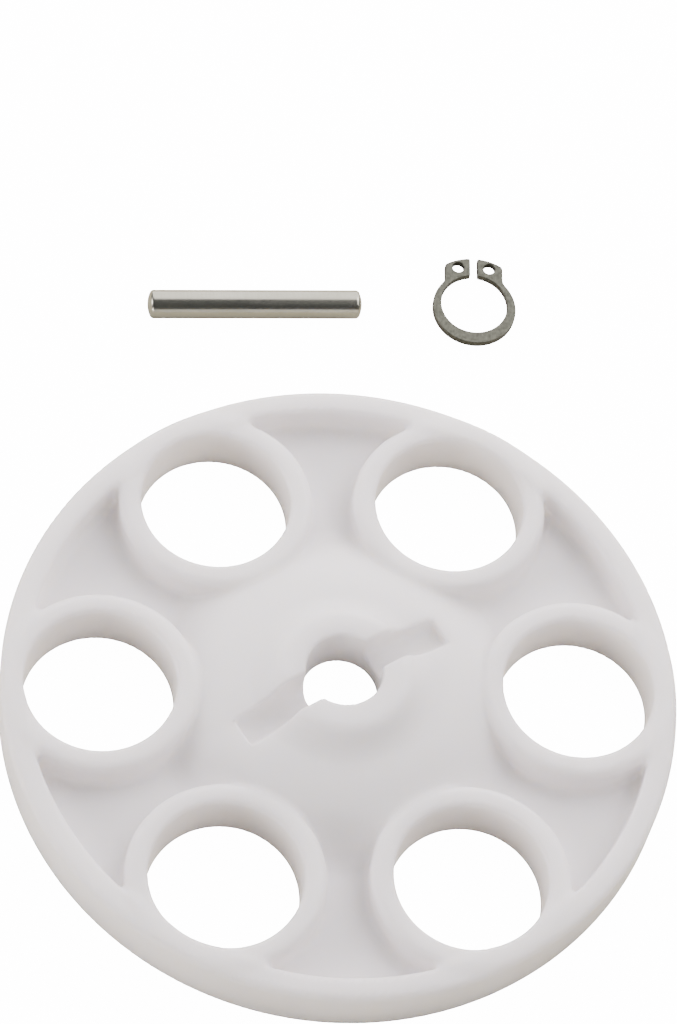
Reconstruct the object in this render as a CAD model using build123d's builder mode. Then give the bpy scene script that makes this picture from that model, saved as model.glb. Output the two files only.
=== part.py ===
"""Hub-drive wheel kit: a six-window plastic drive disc, its drive pin and its retaining ring.

Millimetres, +Z up. The origin is on the bore axis, at the bore's lower mouth, where the retaining
ring seats, and +X runs along the pin slot. The disc lies flat, and the two steel parts lie beside it
on the same surface.
"""

import os
from math import cos, radians, sin, sqrt

from build123d import *

# ---- standard hardware that sets the scale ----
shaft_diameter = 10.0
pin_diameter = 4.0
pin_length = 30.0
pin_dome_radius = 4.0
pin_edge_radius = 0.6

ring_thickness = 1.0
ring_free_bore = 9.3  # spring ring for a 10 mm shaft, relaxed
ring_widest = 1.8  # radial width opposite the gap
ring_offset = 0.57  # of the outer circle's centre, away from the gap
ring_gap = 1.0
lug_reach = 7.55  # from the ring's centre to the lugs' outer edge
lug_half_width = 4.1
lug_hole_diameter = 1.6
lug_hole_spot = (2.2, 5.95)
lug_corner_radius = 0.7
lug_root_radius = 1.6
lug_tip_radius = 0.25
ring_edge_radius = 0.15

# ---- drive disc: rim, web and windows ----
disc_radius = 44.5
disc_height = 8.0
rim_inner_radius = 41.3
web_thickness = 3.6
window_count = 6
window_diameter = 20.0
window_circle_radius = 31.5
first_window_angle = 30.0  # the slot points midway between two windows
collar_radius = 13.0
pocket_corner_radius = 1.2
pocket_floor_radius = 1.0
pocket_edge_radius = 0.9
window_edge_radius = 0.6
window_foot_radius = 0.4
rim_edge_radius = 0.8
rim_foot_radius = 0.6

# ---- drive disc: hub, heights counted from the underside ----
hub_height = 12.2
boss_radius = 8.7
boss_foot_radius = 10.5
shoulder_height_inner = 9.6
shoulder_height_outer = 8.9
shoulder_radius = 16.7
cone_foot_radius = 24.2
boss_edge_blend = 0.9
boss_foot_blend = 1.6
shoulder_blend = 2.0
cone_foot_blend = 0.8

# ---- drive disc: bore, pin slot and underside ----
bore_radius = shaft_diameter / 2 + 0.05
slot_width = pin_diameter + 0.1
slot_length = pin_length + 0.5
slot_floor_height = 7.0
slot_edge_radius = 0.4
recess_radius = 11.0
recess_depth = 4.2
recess_blend = 0.8
ejector_mark_diameter = 5.0
ejector_mark_depth = 0.2
ejector_circle_radius = 36.5

# ---- where the loose parts lie, beside the disc ----
pin_spot = (23.1, 58.1)
pin_angle = -28.4
ring_spot = (50.9, 44.0)
ring_gap_angle = 57.7

# ---- levels ----
base_z = -recess_depth
web_z = base_z + web_thickness
rim_z = base_z + disc_height
hub_z = base_z + hub_height
slot_z = base_z + slot_floor_height

os.makedirs("parts", exist_ok=True)


def edges_at(builder, z, within=1e-3):
    """The edges of a part that lie flat at one level."""
    return builder.edges().filter_by(
        lambda edge: abs(edge.bounding_box().min.Z - z) < within
        and abs(edge.bounding_box().max.Z - z) < within
    )


# ---------------------------------------------------------------- drive disc
with BuildPart() as drive_disc:
    with BuildSketch(Plane.XY.offset(base_z)):
        Circle(disc_radius)
    extrude(amount=disc_height)
    fillet(edges_at(drive_disc, rim_z), rim_edge_radius)
    fillet(edges_at(drive_disc, base_z), rim_foot_radius)

    # the pocket leaves the rim and six round collars standing on the web
    with BuildSketch(Plane.XY.offset(rim_z)) as pocket:
        Circle(rim_inner_radius)
        with PolarLocations(window_circle_radius, window_count, first_window_angle):
            Circle(collar_radius, mode=Mode.SUBTRACT)
        fillet(pocket.vertices(), pocket_corner_radius)
    extrude(amount=-(disc_height - web_thickness), mode=Mode.SUBTRACT)
    fillet(edges_at(drive_disc, web_z), pocket_floor_radius)
    pocket_edges = edges_at(drive_disc, rim_z).sort_by(SortBy.LENGTH)[:-1]  # not the disc's own edge
    fillet(pocket_edges, pocket_edge_radius)

    # hub: a boss round the bore, a flat shoulder and a cone down to the web
    with BuildSketch(Plane.XZ) as hub_section:
        with BuildLine():
            Polyline(
                (0, hub_z),
                (boss_radius, hub_z),
                (boss_foot_radius, base_z + shoulder_height_inner),
                (shoulder_radius, base_z + shoulder_height_outer),
                (cone_foot_radius, web_z),
                (cone_foot_radius + web_thickness, web_z),
                (cone_foot_radius + web_thickness, base_z + web_thickness / 2),
                (0, base_z + web_thickness / 2),
                close=True,
            )
        make_face()
        blends = {
            (boss_radius, hub_z): boss_edge_blend,
            (boss_foot_radius, base_z + shoulder_height_inner): boss_foot_blend,
            (shoulder_radius, base_z + shoulder_height_outer): shoulder_blend,
            (cone_foot_radius, web_z): cone_foot_blend,
        }
        for (radius, level), blend in blends.items():
            corner = hub_section.vertices().sort_by_distance((radius, level))[0]
            fillet(corner, blend)
    revolve(axis=Axis.Z)

    # the windows go right through the collars
    with BuildSketch(Plane.XY.offset(rim_z)):
        with PolarLocations(window_circle_radius, window_count, first_window_angle):
            Circle(window_diameter / 2)
    extrude(amount=-disc_height, mode=Mode.SUBTRACT)
    window_edges = drive_disc.edges().filter_by(GeomType.CIRCLE).filter_by(
        lambda edge: abs(edge.radius - window_diameter / 2) < 1e-3
    )
    fillet(window_edges.group_by(Axis.Z)[-1], window_edge_radius)
    fillet(window_edges.group_by(Axis.Z)[0], window_foot_radius)

    # bore, and the round-bottomed cross slot that the pin lies in
    with BuildSketch(Plane.XY.offset(hub_z)):
        Circle(bore_radius)
    extrude(amount=-hub_height, mode=Mode.SUBTRACT)
    with BuildSketch(Plane.YZ.offset(-slot_length / 2)):
        with Locations((0, slot_z + slot_width / 2)):
            Circle(slot_width / 2)
            Rectangle(slot_width, hub_height, align=(Align.CENTER, Align.MIN))
    extrude(amount=slot_length, mode=Mode.SUBTRACT)
    slot_rims = drive_disc.edges().filter_by(
        lambda edge: abs(edge.bounding_box().size.Y) < 1e-3
        and abs(abs(edge.center().Y) - slot_width / 2) < 1e-3
        and edge.bounding_box().min.Z > slot_z + slot_width / 2 + 0.1
    )
    fillet(slot_rims, slot_edge_radius)

    # the recess under the hub takes the ring and the end of the shaft
    with BuildSketch(Plane.XY.offset(base_z)):
        Circle(recess_radius)
    extrude(amount=recess_depth, mode=Mode.SUBTRACT)
    recess_edges = drive_disc.edges().filter_by(GeomType.CIRCLE).filter_by(
        lambda edge: abs(edge.radius - recess_radius) < 1e-3
    )
    fillet(recess_edges, recess_blend)

    # shallow marks that the ejector pins leave
    with BuildSketch(Plane.XY.offset(base_z)):
        with PolarLocations(ejector_circle_radius, window_count):
            Circle(ejector_mark_diameter / 2)
    extrude(amount=ejector_mark_depth, mode=Mode.SUBTRACT)

drive_disc.part.label = "drive_disc"
export_step(drive_disc.part, "parts/drive_disc.step")


# ---------------------------------------------------------------- drive pin
dome_depth = pin_dome_radius - sqrt(pin_dome_radius**2 - (pin_diameter / 2) ** 2)
half_length = pin_length / 2
pin_plane = Plane(
    origin=(*pin_spot, base_z + pin_diameter / 2),
    x_dir=(cos(radians(pin_angle)), sin(radians(pin_angle)), 0),
    z_dir=(sin(radians(pin_angle)), -cos(radians(pin_angle)), 0),
)
with BuildPart() as drive_pin:
    with BuildSketch(pin_plane) as pin_section:
        with BuildLine():
            straight = Line(
                (-half_length + dome_depth, pin_diameter / 2),
                (half_length - dome_depth, pin_diameter / 2),
            )
            RadiusArc(straight @ 1, (half_length, 0), pin_dome_radius)
            RadiusArc((-half_length, 0), straight @ 0, pin_dome_radius)
            Line((-half_length, 0), (half_length, 0))
        make_face()
        fillet(pin_section.vertices().group_by(Axis.Y)[-1], pin_edge_radius)
    revolve(axis=Axis(pin_plane.origin, pin_plane.x_dir))

drive_pin.part.label = "drive_pin"
export_step(drive_pin.part, "parts/drive_pin.step")


# ---------------------------------------------------------------- retaining ring
ring_bore_radius = ring_free_bore / 2
ring_outer_radius = ring_bore_radius + ring_widest - ring_offset
lug_corner_y = sqrt(lug_reach**2 - lug_half_width**2)
lug_root_y = sqrt(ring_outer_radius**2 - lug_half_width**2) - ring_offset
lug_gap_y = sqrt(lug_reach**2 - (ring_gap / 2) ** 2)
bore_gap_y = sqrt(ring_bore_radius**2 - (ring_gap / 2) ** 2)
ring_x_angle = radians(ring_gap_angle - 90)
ring_plane = Plane(
    origin=(*ring_spot, base_z),
    x_dir=(cos(ring_x_angle), sin(ring_x_angle), 0),
    z_dir=(0, 0, 1),
)
with BuildPart() as retaining_ring:
    with BuildSketch(ring_plane) as ring_outline:
        # the band is widest opposite the gap, because its two circles aren't concentric
        with Locations((0, -ring_offset)):
            Circle(ring_outer_radius)
        with BuildLine():
            Polyline(
                (lug_half_width, lug_corner_y),
                (lug_half_width, 0),
                (-lug_half_width, 0),
                (-lug_half_width, lug_corner_y),
            )
            ThreePointArc(
                (-lug_half_width, lug_corner_y), (0, lug_reach), (lug_half_width, lug_corner_y)
            )
        make_face()
        Circle(ring_bore_radius, mode=Mode.SUBTRACT)
        with Locations((0, lug_reach / 2)):
            Rectangle(ring_gap, lug_reach + 1, mode=Mode.SUBTRACT)
        with Locations(lug_hole_spot, (-lug_hole_spot[0], lug_hole_spot[1])):
            Circle(lug_hole_diameter / 2, mode=Mode.SUBTRACT)
        corners = {
            (lug_half_width, lug_corner_y): lug_corner_radius,
            (lug_half_width, lug_root_y): lug_root_radius,
            (ring_gap / 2, lug_gap_y): lug_tip_radius,
            (ring_gap / 2, bore_gap_y): lug_tip_radius,
        }
        for (x, y), radius in corners.items():
            for side in (-1, 1):
                corner = ring_outline.vertices().sort_by_distance((side * x, y))[0]
                fillet(corner, radius)
    extrude(amount=ring_thickness)
    fillet(retaining_ring.faces().filter_by(Axis.Z).edges(), ring_edge_radius)

retaining_ring.part.label = "retaining_ring"
export_step(retaining_ring.part, "parts/retaining_ring.step")
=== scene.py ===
"""Hub-drive wheel kit: looks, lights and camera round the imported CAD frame. Metres, +Z up."""

from math import cos, pi, radians, sin, sqrt

import bpy
import numpy as np
from mathutils import Matrix, Vector


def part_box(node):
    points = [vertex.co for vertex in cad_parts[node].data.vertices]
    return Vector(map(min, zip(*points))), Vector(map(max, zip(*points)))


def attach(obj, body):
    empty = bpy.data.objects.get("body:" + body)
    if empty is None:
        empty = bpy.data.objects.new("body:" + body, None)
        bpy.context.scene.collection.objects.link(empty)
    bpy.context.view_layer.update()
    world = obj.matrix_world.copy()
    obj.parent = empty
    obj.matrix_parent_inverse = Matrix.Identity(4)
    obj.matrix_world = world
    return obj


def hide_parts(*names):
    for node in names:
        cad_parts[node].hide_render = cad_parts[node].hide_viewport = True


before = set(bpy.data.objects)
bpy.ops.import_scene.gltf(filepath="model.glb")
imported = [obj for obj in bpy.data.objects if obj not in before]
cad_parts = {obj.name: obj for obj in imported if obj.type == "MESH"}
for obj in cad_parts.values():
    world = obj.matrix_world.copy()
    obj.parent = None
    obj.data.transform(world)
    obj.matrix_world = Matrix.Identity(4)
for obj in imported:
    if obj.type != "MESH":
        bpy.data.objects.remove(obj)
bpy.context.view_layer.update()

mm = 0.001
scene = bpy.context.scene

# ---- places taken from the frame ----
disc_low, disc_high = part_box("drive_disc")
floor_z = disc_low.z
disc_radius = disc_high.x / mm
disc_top = (disc_high.z - floor_z) / mm

# ---- the moulded disc, millimetres, heights counted from its underside ----
rim_height = 8.0
rim_inner_radius = 41.3
web_thickness = 3.6
window_count = 6
window_radius = 10.0
window_circle_radius = 31.5
first_window_angle = radians(30)
collar_radius = 13.0
boss_radius = 8.7
boss_foot = (10.5, 9.6)
shoulder = (16.7, 8.9)
cone_foot = (24.2, web_thickness)
bore_radius = 5.05
slot_half_length = 15.25
slot_half_width = 2.05
slot_floor = 7.0
recess_radius = 11.0
recess_height = 4.2
mark_circle_radius = 36.5
mark_radius = 2.5
mark_depth = 0.2
mark_edge_width = 0.5

# ---- its soft edges (convex) and blends (concave) ----
rim_inner_edge = 0.5
rim_outer_edge = 0.8
collar_edge = 1.2
wall_corner_blend = 1.2
pocket_floor_blend = 1.0
boss_edge = 0.9
shoulder_edge = 2.0
boss_foot_blend = 1.6
cone_foot_blend = 0.8
window_edge = 0.6
slot_end_blend = 0.4
slot_edge = 0.4
bore_edge = 0.3
recess_blend = 0.8
recess_edge = 0.4
underside_edge = 0.5

# ---- the grid that its skin is meshed on ----
grid_margin = 1.0
fine_cell = 0.3
coarse_cell = 0.6
fine_reach_x = 16.5  # the strips over the hub and the slot
fine_reach_y = 6.0
level_count = 35
surface_steps = 6

# ---- the way the steel parts lie ----
pin_turn = radians(-28.4)
ring_turn = radians(57.7)


# ------------------------------------------------------------------ camera
view_azimuth = radians(-43.365)
view_elevation = radians(60.07)
view_roll = radians(12.793)
view_distance = 12.0536 * disc_radius * mm
aim_right = -0.01091 * disc_radius * mm
aim_down = 0.59088 * disc_radius * mm
focal_length = 142.43
sensor_side = 36.0


def make_camera():
    """The photographer's view: from above the near rim, with a little roll."""
    flat_right = Vector((cos(view_azimuth), sin(view_azimuth), 0))
    forward = Vector(
        (
            -sin(view_azimuth) * cos(view_elevation),
            cos(view_azimuth) * cos(view_elevation),
            -sin(view_elevation),
        )
    )
    flat_up = flat_right.cross(forward)
    right = flat_right * cos(view_roll) + flat_up * sin(view_roll)
    up = flat_up * cos(view_roll) - flat_right * sin(view_roll)
    base_centre = Vector((0, 0, floor_z))
    place = base_centre - aim_right * right + aim_down * up - view_distance * forward
    data = bpy.data.cameras.new("photo_camera")
    data.lens = focal_length
    data.sensor_width = sensor_side
    camera = bpy.data.objects.new("photo_camera", data)
    turn = Matrix((right, up, -forward)).transposed().to_4x4()
    camera.matrix_world = Matrix.Translation(place) @ turn
    scene.collection.objects.link(camera)
    scene.camera = camera


make_camera()


# ------------------------------------------------------------------ disc shape
def round_and(a, b, radius):
    """Distance field of a and b together, the edge between them rounded."""
    u, v = np.maximum(a + radius, 0), np.maximum(b + radius, 0)
    return np.minimum(np.maximum(a, b), -radius) + np.sqrt(u * u + v * v)


def round_or(a, b, radius):
    """Distance field of a or b, the corner between them filled."""
    return -round_and(-a, -b, radius)


def slope(rho, z, start, end):
    """Signed distance above the line from start to end, which falls outwards."""
    run, fall = end[0] - start[0], start[1] - end[1]
    size = sqrt(run * run + fall * fall)
    return ((rho - start[0]) * fall + (z - start[1]) * run) / size


def disc_field(x, y, z):
    """Signed distance to the moulded disc, in millimetres: negative inside."""
    rho = np.hypot(x, y)
    step = 2 * pi / window_count
    angle = np.arctan2(y, x) - first_window_angle
    angle = angle - step * np.round(angle / step)
    window = np.hypot(rho * np.cos(angle) - window_circle_radius, rho * np.sin(angle))

    rim = round_and(rim_inner_radius - rho, z - rim_height, rim_inner_edge)
    collars = round_and(window - collar_radius, z - rim_height, collar_edge)
    walls = round_or(rim, collars, wall_corner_blend)
    solid = round_or(walls, z - web_thickness, pocket_floor_blend)

    boss_side = slope(rho, z, (boss_radius, disc_top), boss_foot)
    boss = round_and(boss_side, z - disc_top, boss_edge)
    shoulder_top = slope(rho, z, boss_foot, shoulder)
    cone = round_and(shoulder_top, slope(rho, z, shoulder, cone_foot), shoulder_edge)
    hub = round_or(boss, cone, boss_foot_blend)
    solid = round_or(solid, hub, cone_foot_blend)

    solid = round_and(solid, window_radius - window, window_edge)
    solid = round_and(solid, rho - disc_radius, rim_outer_edge)
    slot = round_and(np.abs(y) - slot_half_width, slot_floor - z, slot_half_width)
    slot = round_and(slot, np.abs(x) - slot_half_length, slot_end_blend)
    solid = round_and(solid, -slot, slot_edge)
    solid = round_and(solid, bore_radius - rho, bore_edge)
    recess = round_and(rho - recess_radius, z - recess_height, recess_blend)
    solid = round_and(solid, -recess, recess_edge)

    # the underside, dished where the ejector pins pushed
    mark_angle = np.arctan2(y, x)
    mark_angle = mark_angle - step * np.round(mark_angle / step)
    mark = np.hypot(rho * np.cos(mark_angle) - mark_circle_radius, rho * np.sin(mark_angle))
    dish = mark_depth * np.clip((mark_radius - mark) / mark_edge_width + 0.5, 0, 1)
    return round_and(solid, dish - z, underside_edge)


def field_slope(x, y, z, reach=0.02):
    """The field's gradient at each point, scaled to length 1."""
    rise = np.stack(
        [
            disc_field(x + reach, y, z) - disc_field(x - reach, y, z),
            disc_field(x, y + reach, z) - disc_field(x, y - reach, z),
            disc_field(x, y, z + reach) - disc_field(x, y, z - reach),
        ],
        axis=1,
    )
    return rise / np.maximum(np.linalg.norm(rise, axis=1), 1e-9)[:, None]


def grid_lines(reach, fine_reach, fine, coarse):
    """Grid lines from -reach to reach, closer together near the middle."""
    middle = np.linspace(-fine_reach, fine_reach, round(2 * fine_reach / fine) + 1)
    outer = np.linspace(fine_reach, reach, round((reach - fine_reach) / coarse) + 1)[1:]
    return np.concatenate([-outer[::-1], middle, outer])


def surface_net(side_x, side_y, level):
    """Meshes the disc's field: one vertex in each grid cell that the surface crosses."""
    x, y, z = np.meshgrid(side_x, side_y, level, indexing="ij")
    inside = disc_field(x, y, z) < 0
    ends = [length - 1 for length in inside.shape]
    count = sum(
        inside[i : i + ends[0], j : j + ends[1], k : k + ends[2]].astype(np.int8)
        for i in (0, 1)
        for j in (0, 1)
        for k in (0, 1)
    )
    crossed = (count > 0) & (count < 8)
    index = np.full(crossed.shape, -1, np.int64)
    index[crossed] = np.arange(crossed.sum())
    cells = np.argwhere(crossed)
    middles = [(lines[1:] + lines[:-1]) / 2 for lines in (side_x, side_y, level)]
    points = np.stack([middle[cells[:, axis]] for axis, middle in enumerate(middles)], axis=1)
    for _ in range(surface_steps):
        outward = field_slope(*points.T)
        points -= outward * disc_field(*points.T)[:, None]

    faces = []
    for axis in range(3):
        lower = [slice(1, -1)] * 3
        lower[axis] = slice(0, -1)
        upper = list(lower)
        upper[axis] = slice(1, None)
        before, after = inside[tuple(lower)], inside[tuple(upper)]
        p, q = [a for a in range(3) if a != axis]
        for entering in (False, True):
            spots = np.argwhere((before != after) & (after == entering))
            offset = np.ones(3, np.int64)
            offset[axis] = 0
            spots = spots + offset
            corners = []
            for dp, dq in ((0, 0), (1, 0), (1, 1), (0, 1)):
                cell = spots.copy()
                cell[:, p] -= dp
                cell[:, q] -= dq
                corners.append(index[tuple(cell.T)])
            quad = np.stack(corners, axis=1)
            flip = entering != (axis == 1)
            faces.append(quad[:, ::-1] if flip else quad)
    return points, np.concatenate(faces)


def make_disc():
    """The white disc as one moulded skin, with its blends and soft edges."""
    reach = disc_radius + grid_margin
    side_x = grid_lines(reach, fine_reach_x, fine_cell, coarse_cell)
    side_y = grid_lines(reach, fine_reach_y, fine_cell, coarse_cell)
    level = np.linspace(-grid_margin, disc_top + grid_margin, level_count)
    points, faces = surface_net(side_x, side_y, level)
    normals = field_slope(*points.T)
    mesh = bpy.data.meshes.new("moulded_disc")
    mesh.from_pydata((points * mm + np.array([0, 0, floor_z])).tolist(), [], faces.tolist())
    mesh.validate()
    mesh.polygons.foreach_set("use_smooth", [True] * len(mesh.polygons))
    mesh.normals_split_custom_set_from_vertices(normals.tolist())
    disc = bpy.data.objects.new("moulded_disc", mesh)
    scene.collection.objects.link(disc)
    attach(disc, "disc")
    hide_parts("drive_disc")
    return disc


disc = make_disc()


# ------------------------------------------------------------------ materials
class NodeMaterial:
    """A node material: its Principled shader, the object's own coordinates and a few shorthands."""

    def __init__(self, name):
        self.material = bpy.data.materials.new(name)
        self.material.use_nodes = True
        self.nodes, self.links = self.material.node_tree.nodes, self.material.node_tree.links
        self.shader = self.nodes["Principled BSDF"]
        self.place = self.nodes.new("ShaderNodeTexCoord")

    def set(self, **values):
        for name, value in values.items():
            self.shader.inputs[name.replace("_", " ")].default_value = value

    def link(self, output, socket):
        self.links.new(output, self.shader.inputs[socket])

    def noise(self, size, detail=2.0, turn=0.0):
        """Noise whose features are size millimetres long, along axes turned about Z."""
        mapping = self.nodes.new("ShaderNodeMapping")
        mapping.vector_type = "TEXTURE"
        mapping.inputs["Rotation"].default_value = (0, 0, turn)
        mapping.inputs["Scale"].default_value = [length * mm for length in size]
        texture = self.nodes.new("ShaderNodeTexNoise")
        texture.inputs["Scale"].default_value = 1
        texture.inputs["Detail"].default_value = detail
        self.links.new(self.place.outputs["Object"], mapping.inputs["Vector"])
        self.links.new(mapping.outputs["Vector"], texture.inputs["Vector"])
        return texture.outputs["Fac"]

    def ramp(self, value, start, end, low, high):
        """The value from start to end, stretched to low to high and kept between them."""
        node = self.nodes.new("ShaderNodeMapRange")
        limits = {"From Min": start, "From Max": end, "To Min": low, "To Max": high}
        for name, number in limits.items():
            node.inputs[name].default_value = number
        self.links.new(value, node.inputs["Value"])
        return node.outputs["Result"]

    def blend(self, factor, first, second):
        """Two colours, either of which may be another node's output, mixed by a factor."""
        node = self.nodes.new("ShaderNodeMix")
        node.data_type = "RGBA"
        self.links.new(factor, node.inputs["Factor"])
        for socket, color in ((node.inputs["A"], first), (node.inputs["B"], second)):
            if isinstance(color, tuple):
                socket.default_value = (*color, 1)
            else:
                self.links.new(color, socket)
        return node.outputs["Result"]

    def bump(self, height, depth, under=None):
        """Relief of the given depth in millimetres, laid over an earlier bump if there is one."""
        node = self.nodes.new("ShaderNodeBump")
        node.inputs["Strength"].default_value = 1
        node.inputs["Distance"].default_value = depth * mm
        self.links.new(height, node.inputs["Height"])
        if under is not None:
            self.links.new(under, node.inputs["Normal"])
        return node.outputs["Normal"]


def white_plastic():
    """Natural white moulding plastic: waxy, see-through at thin edges, satin, with faint flow marks."""
    m = NodeMaterial("white_plastic")
    m.set(
        Subsurface_Weight=1.0,
        Subsurface_Radius=(1.0, 0.95, 0.88),
        Subsurface_Scale=5.0 * mm,
        Subsurface_Anisotropy=0.8,
        Specular_IOR_Level=0.4,
    )
    flow = m.noise((16, 16, 6), 3)
    grain = m.noise((0.5, 0.5, 0.5), 3)
    rubs = m.noise((7, 0.35, 2), 4, radians(35))
    cloud = m.blend(m.ramp(flow, 0.35, 0.65, 0, 1), (0.890, 0.850, 0.857), (0.872, 0.836, 0.836))
    m.link(m.blend(m.ramp(grain, 0.62, 0.78, 0, 0.35), cloud, (0.84, 0.80, 0.79)), "Base Color")
    m.link(m.ramp(rubs, 0.35, 0.72, 0.50, 0.34), "Roughness")
    waves = m.bump(flow, 0.12)
    rubbed = m.bump(rubs, 0.004, waves)
    m.link(m.bump(grain, 0.012, rubbed), "Normal")
    return m.material


def ground_steel(turn):
    """Steel ground round and polished, with faint rings round it, stains along it and scuffs."""
    m = NodeMaterial("ground_steel")
    m.set(Metallic=1.0, Anisotropic=0.3)
    rings = m.noise((0.12, 5, 5), 3, turn)
    stains = m.noise((7, 1.6, 1.6), 3, turn)
    scuffs = m.noise((0.9, 0.5, 0.5), 5, turn)
    body = m.blend(m.ramp(stains, 0.35, 0.65, 0, 1), (0.36, 0.362, 0.320), (0.33, 0.332, 0.288))
    body = m.blend(m.ramp(rings, 0.45, 0.75, 0, 0.35), body, (0.29, 0.290, 0.252))
    m.link(m.blend(m.ramp(scuffs, 0.60, 0.80, 0, 0.3), body, (0.26, 0.258, 0.222)), "Base Color")
    m.link(m.ramp(stains, 0.3, 0.7, 0.21, 0.24), "Roughness")
    ground = m.bump(rings, 0.0002)
    m.link(m.bump(scuffs, 0.0003, ground), "Normal")
    return m.material


def stamped_steel(turn):
    """Oiled spring steel: mottled grey-green faces, sides painted darker than the faces as painted
    shade and streaked where sheared, a fine rolling grain.
    """
    m = NodeMaterial("stamped_steel")
    m.set(Metallic=0.85)
    mottle = m.noise((0.55, 0.55, 0.55), 4)
    rolled = m.noise((3.0, 0.12, 0.3), 3, turn)
    shear = m.noise((0.14, 0.14, 2.0), 3)
    # painted shade: surfaces that face sideways, picked by their normal, get a darker colour than the
    # flat faces
    split = m.nodes.new("ShaderNodeSeparateXYZ")
    m.links.new(m.place.outputs["Normal"], split.inputs["Vector"])
    face_or_shaded_side = m.ramp(split.outputs["Z"], 0.35, 0.85, 0, 1)
    face = m.blend(m.ramp(mottle, 0.32, 0.68, 0, 1), (0.070, 0.072, 0.057), (0.112, 0.115, 0.093))
    face = m.blend(m.ramp(rolled, 0.55, 0.75, 0, 0.5), face, (0.148, 0.151, 0.127))
    # the sides' colour: darkened as painted shade, with real shear streaks through it
    shaded_sheared_side = m.blend(m.ramp(shear, 0.35, 0.65, 0, 1), (0.048, 0.048, 0.036), (0.085, 0.084, 0.066))
    m.link(m.blend(face_or_shaded_side, shaded_sheared_side, face), "Base Color")
    m.link(m.ramp(mottle, 0.3, 0.7, 0.50, 0.36), "Roughness")
    pits = m.bump(mottle, 0.012)
    m.link(m.bump(rolled, 0.004, pits), "Normal")
    return m.material


disc.data.materials.append(white_plastic())
for node, material in (
    ("drive_pin", ground_steel(pin_turn)),
    ("retaining_ring", stamped_steel(ring_turn)),
):
    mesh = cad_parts[node].data
    mesh.materials.clear()
    mesh.materials.append(material)


# ------------------------------------------------------------------ floor and lights
softbox_color = (1, 0.94, 0.945)


def make_floor():
    """A white sweep: matt for the light that falls on it, bright and shadowless to the camera."""
    mesh = bpy.data.meshes.new("studio_floor")
    half = 10.0
    corners = [(x * half, y * half, floor_z) for x, y in ((-1, -1), (1, -1), (1, 1), (-1, 1))]
    mesh.from_pydata(corners, [], [(0, 1, 2, 3)])
    floor = bpy.data.objects.new("studio_floor", mesh)
    scene.collection.objects.link(floor)
    material = bpy.data.materials.new("white_sweep")
    material.use_nodes = True
    nodes, links = material.node_tree.nodes, material.node_tree.links
    nodes.clear()
    matt = nodes.new("ShaderNodeBsdfDiffuse")
    matt.inputs["Color"].default_value = (0.80, 0.74, 0.62, 1)
    seen = nodes.new("ShaderNodeBsdfDiffuse")
    seen.inputs["Color"].default_value = (0.95, 0.95, 0.95, 1)
    glow = nodes.new("ShaderNodeEmission")
    glow.inputs["Strength"].default_value = 12
    both = nodes.new("ShaderNodeAddShader")
    ray = nodes.new("ShaderNodeLightPath")
    mix = nodes.new("ShaderNodeMixShader")
    out = nodes.new("ShaderNodeOutputMaterial")
    links.new(seen.outputs[0], both.inputs[0])
    links.new(glow.outputs[0], both.inputs[1])
    links.new(ray.outputs["Is Camera Ray"], mix.inputs[0])
    links.new(matt.outputs[0], mix.inputs[1])
    links.new(both.outputs[0], mix.inputs[2])
    links.new(mix.outputs[0], out.inputs["Surface"])
    mesh.materials.append(material)


def softbox(name, azimuth, elevation, distance, size, power):
    """A square softbox aimed at the disc. Azimuth turns clockwise from straight behind the disc."""
    a = radians(azimuth) - view_azimuth
    e = radians(elevation)
    direction = Vector((sin(a) * cos(e), cos(a) * cos(e), sin(e)))
    data = bpy.data.lights.new(name, "AREA")
    data.size = size
    data.energy = power
    data.color = softbox_color
    light = bpy.data.objects.new(name, data)
    light.location = direction * distance
    light.rotation_mode = "QUATERNION"
    light.rotation_quaternion = (-direction).to_track_quat("-Z", "Y")
    scene.collection.objects.link(light)


make_floor()
softbox("back_softbox", 0, 31, 0.36, 0.64, 3.5)
softbox("left_softbox", -100, 21, 0.9, 0.5, 4.8)
softbox("right_softbox", 75, 50, 0.9, 0.8, 5.2)
softbox("front_softbox", -150, 5, 1.0, 0.16, 3.0)
world = bpy.data.worlds.new("studio")
world.use_nodes = True
world.node_tree.nodes["Background"].inputs["Color"].default_value = (1, 1, 1, 1)
world.node_tree.nodes["Background"].inputs["Strength"].default_value = 0.1
scene.world = world
scene.view_settings.view_transform = "Filmic"
